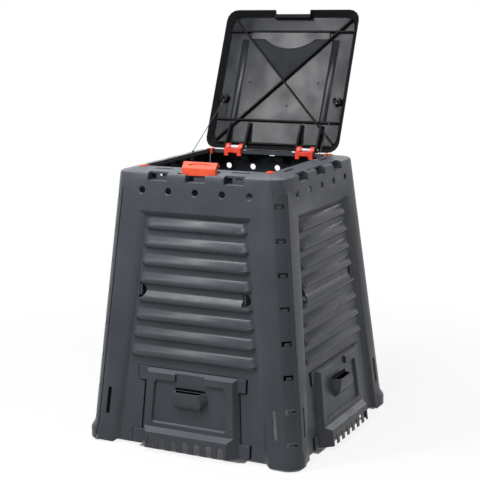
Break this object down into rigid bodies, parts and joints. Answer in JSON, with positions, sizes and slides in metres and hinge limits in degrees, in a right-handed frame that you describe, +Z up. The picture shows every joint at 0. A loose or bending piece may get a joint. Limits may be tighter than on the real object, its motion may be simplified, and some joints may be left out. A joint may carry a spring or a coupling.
{
  "type": "garden compost bin with hinged lid",
  "caption": "Square tapering garden compost bin of interlocking ridged wall panels, with a hinged tray lid on stays, an orange latch and clips, and pull-out bottom hatches.",
  "frame": {"origin": "middle of the footprint of the whole bin, lid open, at ground level", "axes": "+Z up, -Y towards the front wall with the latch, +X to the right seen from the front; the lid hinges on the +Y wall"},
  "size_m": [0.9746, 1.0302, 1.6592],
  "materials": {
    "wall": "moulded, fine grained, satin",
    "hatch": "moulded, fine grained, satin",
    "lid": "smooth and glossy",
    "orange_clip": "smooth satin",
    "orange_latch": "smooth satin",
    "red_bracket": "smooth satin",
    "pale_pin": "smooth light grey plastic",
    "cord": "dark braided cord",
    "plug": "smooth dark plastic"
  },
  "bodies": {
    "frame": {"panel_front": "wall", "panel_right": "wall", "panel_back": "wall", "panel_left": "wall", "corner_clip_front": "orange_clip", "corner_clip_right": "orange_clip", "corner_clip_back": "orange_clip", "corner_clip_left": "orange_clip", "hinge_bracket_left": "red_bracket", "hinge_bracket_right": "red_bracket", "hinge_pin_left": "pale_pin", "hinge_pin_right": "pale_pin", "latch_pin": "pale_pin", "wall_plug_left": "plug", "wall_plug_right": "plug", "stay_cord_left": "cord", "stay_cord_right": "cord"},
    "lid": {"lid": "lid", "lid_plug_left": "plug", "lid_plug_right": "plug"},
    "latch": {"latch": "orange_latch"},
    "hatch_front": {"hatch_front": "hatch"},
    "hatch_right": {"hatch_right": "hatch"},
    "hatch_back": {"hatch_back": "hatch"},
    "hatch_left": {"hatch_left": "hatch"}
  },
  "joints": [
    {"name": "lid_hinge", "type": "hinge", "parent": "frame", "child": "lid", "pos_m": [0, 0.26618, 1.095], "axis": [1, 0, 0], "range_deg": [0, 113.85], "deforming": ["stay_cord_left", "stay_cord_right"]},
    {"name": "latch_hinge", "type": "hinge", "parent": "frame", "child": "latch", "pos_m": [0, -0.34982, 1.073], "axis": [1, 0, 0], "range_deg": [-23, 0]},
    {"name": "hatch_front_slide", "type": "slide", "parent": "frame", "child": "hatch_front", "axis": [0, -0.9953, 0.0965], "range_m": [0, 0.25]},
    {"name": "hatch_right_slide", "type": "slide", "parent": "frame", "child": "hatch_right", "axis": [0.9953, 0, 0.0965], "range_m": [0, 0.25]},
    {"name": "hatch_back_slide", "type": "slide", "parent": "frame", "child": "hatch_back", "axis": [0, 0.9953, 0.0965], "range_m": [0, 0.25]},
    {"name": "hatch_left_slide", "type": "slide", "parent": "frame", "child": "hatch_left", "axis": [-0.9953, 0, 0.0965], "range_m": [0, 0.25]}
  ]
}
